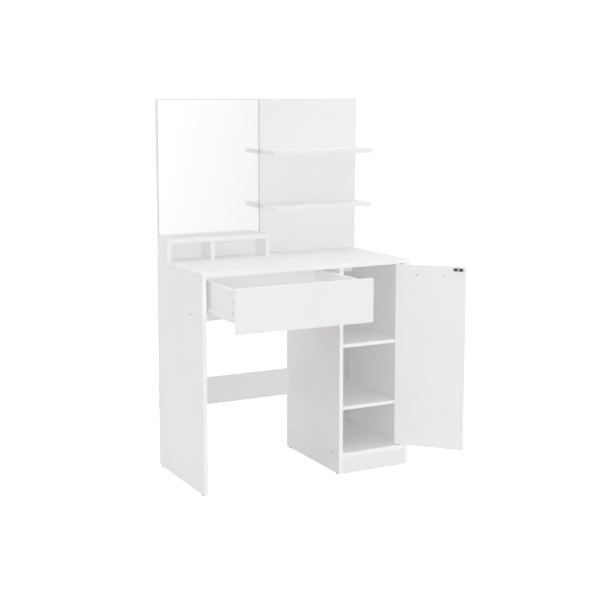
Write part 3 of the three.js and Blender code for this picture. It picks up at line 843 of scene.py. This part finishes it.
mirror_low, mirror_high = (np.array(corner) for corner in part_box("mirror_glass"))
glass_high = (mirror_high[0], mirror_high[1] - SILVER_THICK - GLASS_TO_SILVER, mirror_high[2])
glass = plate("mirror_float_glass", mirror_low, glass_high, [clear_glass, ground_glass])
arris = glass.modifiers.new("ground_arris", "BEVEL")
arris.width = ARRIS
arris.segments = 1
arris.limit_method = "ANGLE"
arris.angle_limit = SHARP_ANGLE
arris.material = 1
inset = np.array((SILVER_INSET, 0.0, SILVER_INSET))
silver_low = inset + (mirror_low[0], mirror_high[1] - SILVER_THICK, mirror_low[2])
silver_high = mirror_high - inset
sheet = plate("mirror_silver_sheet", silver_low, silver_high, [mirror_silver, mirror_silver])
for piece in (glass, sheet):
    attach(piece, body_of["mirror_glass"])
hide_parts("mirror_glass")
print("mirror is", glass.name, "over", sheet.name)

# %% [markdown]
# ## Finishes on the fittings
#
# Runners, rollers, screws, pins, bushes, glides, the catch and the handle already have their
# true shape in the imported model, so they stay, and only their material changes. The record
# says which finish each one takes.

# %% Give each fitting its finish
FINISH_OF_SLOT = {
    "white_runner_steel": coated_steel,
    "roller_nylon": nylon,
    "white_plastic": white_plastic,
    "grey_plastic": grey_plastic,
    "black_plastic": black_plastic,
    "zinc_steel": zinc,
    "dark_steel": dark_oxide,
    "zinc_cam": cast_zinc,
    "satin_steel": satin_nickel,
}
slot_of = {row["node"]: row["material_slot"] for row in frame["record"]["subparts"]}
fittings = 0
for node, piece in frame["nodes"].items():
    finish = FINISH_OF_SLOT.get(slot_of[node])
    if finish is not None:
        piece.data.materials.clear()
        piece.data.materials.append(finish)
        fittings += 1
print(fittings, "fittings finished")

# %% [markdown]
# ## The floor
#
# The table stands on plain white paper. The paper could be made so bright that it vanishes,
# but then its light would wash out the boards from below. So it has an ordinary white, and
# only the camera sees it glow a little, which melts it into the white behind the table and
# keeps the soft shadow at the feet.

# %% Lay the floor
FLOOR_HALF = 14.0
FLOOR_GLOW = 0.5
PAPER_WHITE = 0.93
WHITE = (1.0, 1.0, 1.0, 1.0)


def mirror_or_glass_ray(tree):
    """The Light Path node, and a mask that is 1 for rays that come from a mirror, a glossy
    skin or glass."""
    path = add(tree, "ShaderNodeLightPath")
    either = tree.nodes.new("ShaderNodeMath")
    either.operation = "MAXIMUM"
    wire(tree, path.outputs["Is Glossy Ray"], either.inputs[0])
    wire(tree, path.outputs["Is Transmission Ray"], either.inputs[1])
    return path, either.outputs[0]


def build_floor():
    """One large flat square of white paper. It shows the camera a touch of its own white, so
    that it melts into the background while the soft contact shadow stays, and it lets
    mirror and glass rays through to the white room."""
    corners = FLOOR_HALF * np.array([(-1, -1, 0), (1, -1, 0), (1, 1, 0), (-1, 1, 0)])
    mesh = bpy.data.meshes.new("studio_floor")
    mesh.from_pydata(corners.tolist(), [], [(0, 1, 2, 3)])
    material, tree, paper = start_material("white_paper")
    paper.inputs["Base Color"].default_value = rgb(PAPER_WHITE)
    paper.inputs["Roughness"].default_value = 0.9
    paper.inputs["Specular IOR Level"].default_value = 0.0
    path, through = mirror_or_glass_ray(tree)
    glow = tree.nodes.new("ShaderNodeMath")
    glow.operation = "MULTIPLY"
    glow.inputs[1].default_value = FLOOR_GLOW
    wire(tree, path.outputs["Is Camera Ray"], glow.inputs[0])
    paper.inputs["Emission Color"].default_value = WHITE
    wire(tree, glow.outputs[0], paper.inputs["Emission Strength"])
    clear = add(tree, "ShaderNodeBsdfTransparent", Color=WHITE)
    mix = tree.nodes.new("ShaderNodeMixShader")
    wire(tree, through, mix.inputs[0])
    wire(tree, paper.outputs[0], mix.inputs[1])
    wire(tree, clear.outputs[0], mix.inputs[2])
    wire(tree, mix.outputs[0], tree.nodes["Material Output"].inputs["Surface"])
    mesh.materials.append(material)
    floor = bpy.data.objects.new("studio_floor", mesh)
    bpy.context.scene.collection.objects.link(floor)


build_floor()
print("floor", 2 * FLOOR_HALF, "m wide")

# %% [markdown]
# ## What the mirror shows
#
# A frameless mirror in a white room shows only more white, but never a flat one: it picks up
# the soft edge of the big white panel beside the camera. So the room that mirrors and metals
# see is built as a direction-based pattern: a bright upright panel with soft sides, a little
# darker wall around it, and a slightly darker band towards the floor. The boards are lit by
# a plain even light instead, and the camera sees plain white.

# %% Build the room
ROOM_LIGHT = 0.63
WALL_SEEN = 0.933
PANEL_SEEN = 1.08
LOW_DIM = 0.94
PANEL_EDGE_TURN = math.radians(23.7)
PANEL_STOPS = (
    (0.0, 0.0),
    (0.18, 0.0),
    (0.3, 1.0),
    (0.46, 1.0),
    (0.54, 0.27),
    (0.62, 0.0),
    (1.0, 0.0),
)


def panel_pattern(tree):
    """How bright the room looks in a mirror. The direction's share along a level line square
    to the panel's edge runs through a ramp of stops, and the result is dimmed a little where
    the direction dips below the horizon."""
    place = add(tree, "ShaderNodeTexCoord")
    aside = tree.nodes.new("ShaderNodeVectorMath")
    aside.operation = "DOT_PRODUCT"
    aside.inputs[1].default_value = (math.cos(PANEL_EDGE_TURN), math.sin(PANEL_EDGE_TURN), 0.0)
    wire(tree, place.outputs["Generated"], aside.inputs[0])
    spread = add(tree, "ShaderNodeMapRange", From_Min=-0.5, From_Max=0.5)
    wire(tree, aside.outputs["Value"], spread.inputs["Value"])
    panel = grey_ramp(tree, spread.outputs["Result"], PANEL_STOPS)
    level = add(tree, "ShaderNodeMapRange", To_Min=WALL_SEEN, To_Max=PANEL_SEEN)
    wire(tree, panel, level.inputs["Value"])
    height = tree.nodes.new("ShaderNodeSeparateXYZ")
    wire(tree, place.outputs["Generated"], height.inputs[0])
    dip = add(tree, "ShaderNodeMapRange", From_Min=-0.2, From_Max=0.02, To_Min=LOW_DIM)
    wire(tree, height.outputs["Z"], dip.inputs["Value"])
    both = tree.nodes.new("ShaderNodeMath")
    both.operation = "MULTIPLY"
    wire(tree, level.outputs["Result"], both.inputs[0])
    wire(tree, dip.outputs["Result"], both.inputs[1])
    return both.outputs[0]


def build_room():
    """The world: an even light on the object, the panel pattern for mirrors, metal and glass,
    and plain white for the camera."""
    world = bpy.data.worlds.new("white_room")
    world.use_nodes = True
    tree = world.node_tree
    tree.nodes.clear()
    even = add(tree, "ShaderNodeBackground", Color=WHITE, Strength=ROOM_LIGHT)
    mirrored = add(tree, "ShaderNodeBackground", Color=WHITE)
    plain = add(tree, "ShaderNodeBackground", Color=WHITE, Strength=1.0)
    wire(tree, panel_pattern(tree), mirrored.inputs["Strength"])
    path, shiny = mirror_or_glass_ray(tree)
    object_side = tree.nodes.new("ShaderNodeMixShader")
    camera_side = tree.nodes.new("ShaderNodeMixShader")
    output = tree.nodes.new("ShaderNodeOutputWorld")
    wire(tree, shiny, object_side.inputs[0])
    wire(tree, even.outputs[0], object_side.inputs[1])
    wire(tree, mirrored.outputs[0], object_side.inputs[2])
    wire(tree, path.outputs["Is Camera Ray"], camera_side.inputs[0])
    wire(tree, object_side.outputs[0], camera_side.inputs[1])
    wire(tree, plain.outputs[0], camera_side.inputs[2])
    wire(tree, camera_side.outputs[0], output.inputs[0])
    bpy.context.scene.world = world


build_room()
print("room light", ROOM_LIGHT, "with", len(PANEL_STOPS), "stops across the panel")

# %% [markdown]
# ## The lamps
#
# The room's even light reaches the table from all sides. A broad lamp overhead makes the
# desktop and the shelves the lightest faces, a weak low one from the left front gives the
# recesses a direction, and two fill lamps that cast no shadow open up the insides of the
# cabinet, the drawer and the organiser, as reflector boards would. Light between white
# boards bounces many times, so the limit on diffuse bounces is raised; with the usual four
# the recesses turn grey.

# %% Hang the lamps
DIFFUSE_BOUNCES = 12


def broad_lamp(name, strength, spread, to_the_left, height, shadow=True):
    """A sun with a wide disc. It stands so many degrees to the left of the table's front and
    so many degrees high, and shines at the table. A lamp without shadow lights every face
    that looks its way, and is sampled only at the lamp: rays that meet it by chance would be
    stopped by the boards, and the fill would fade in the recesses."""
    data = bpy.data.lights.new(name, "SUN")
    data.energy = strength
    data.angle = math.radians(spread)
    data.use_shadow = shadow
    data.cycles.use_multiple_importance_sampling = shadow
    turn, lift = math.radians(to_the_left), math.radians(height)
    level = math.cos(lift)
    beam = Vector((math.sin(turn) * level, math.cos(turn) * level, -math.sin(lift)))
    lamp = bpy.data.objects.new(name, data)
    lamp.rotation_euler = beam.to_track_quat("-Z", "Y").to_euler()
    bpy.context.scene.collection.objects.link(lamp)


broad_lamp("overhead_lamp", strength=0.82, spread=60, to_the_left=0, height=85)
broad_lamp("left_front_lamp", strength=0.12, spread=50, to_the_left=28, height=10)
broad_lamp("front_fill", strength=0.57, spread=50, to_the_left=0, height=20, shadow=False)
broad_lamp("left_fill", strength=0.29, spread=50, to_the_left=85, height=15, shadow=False)
bpy.context.scene.cycles.diffuse_bounces = DIFFUSE_BOUNCES
bpy.context.scene.view_settings.view_transform = "Standard"
print(len(bpy.data.lights), "lamps, with", DIFFUSE_BOUNCES, "diffuse bounces")

# %% [markdown]
# ## Finish
#
# The last line brings the view layer up to date.

# %% Finish
bpy.context.view_layer.update()
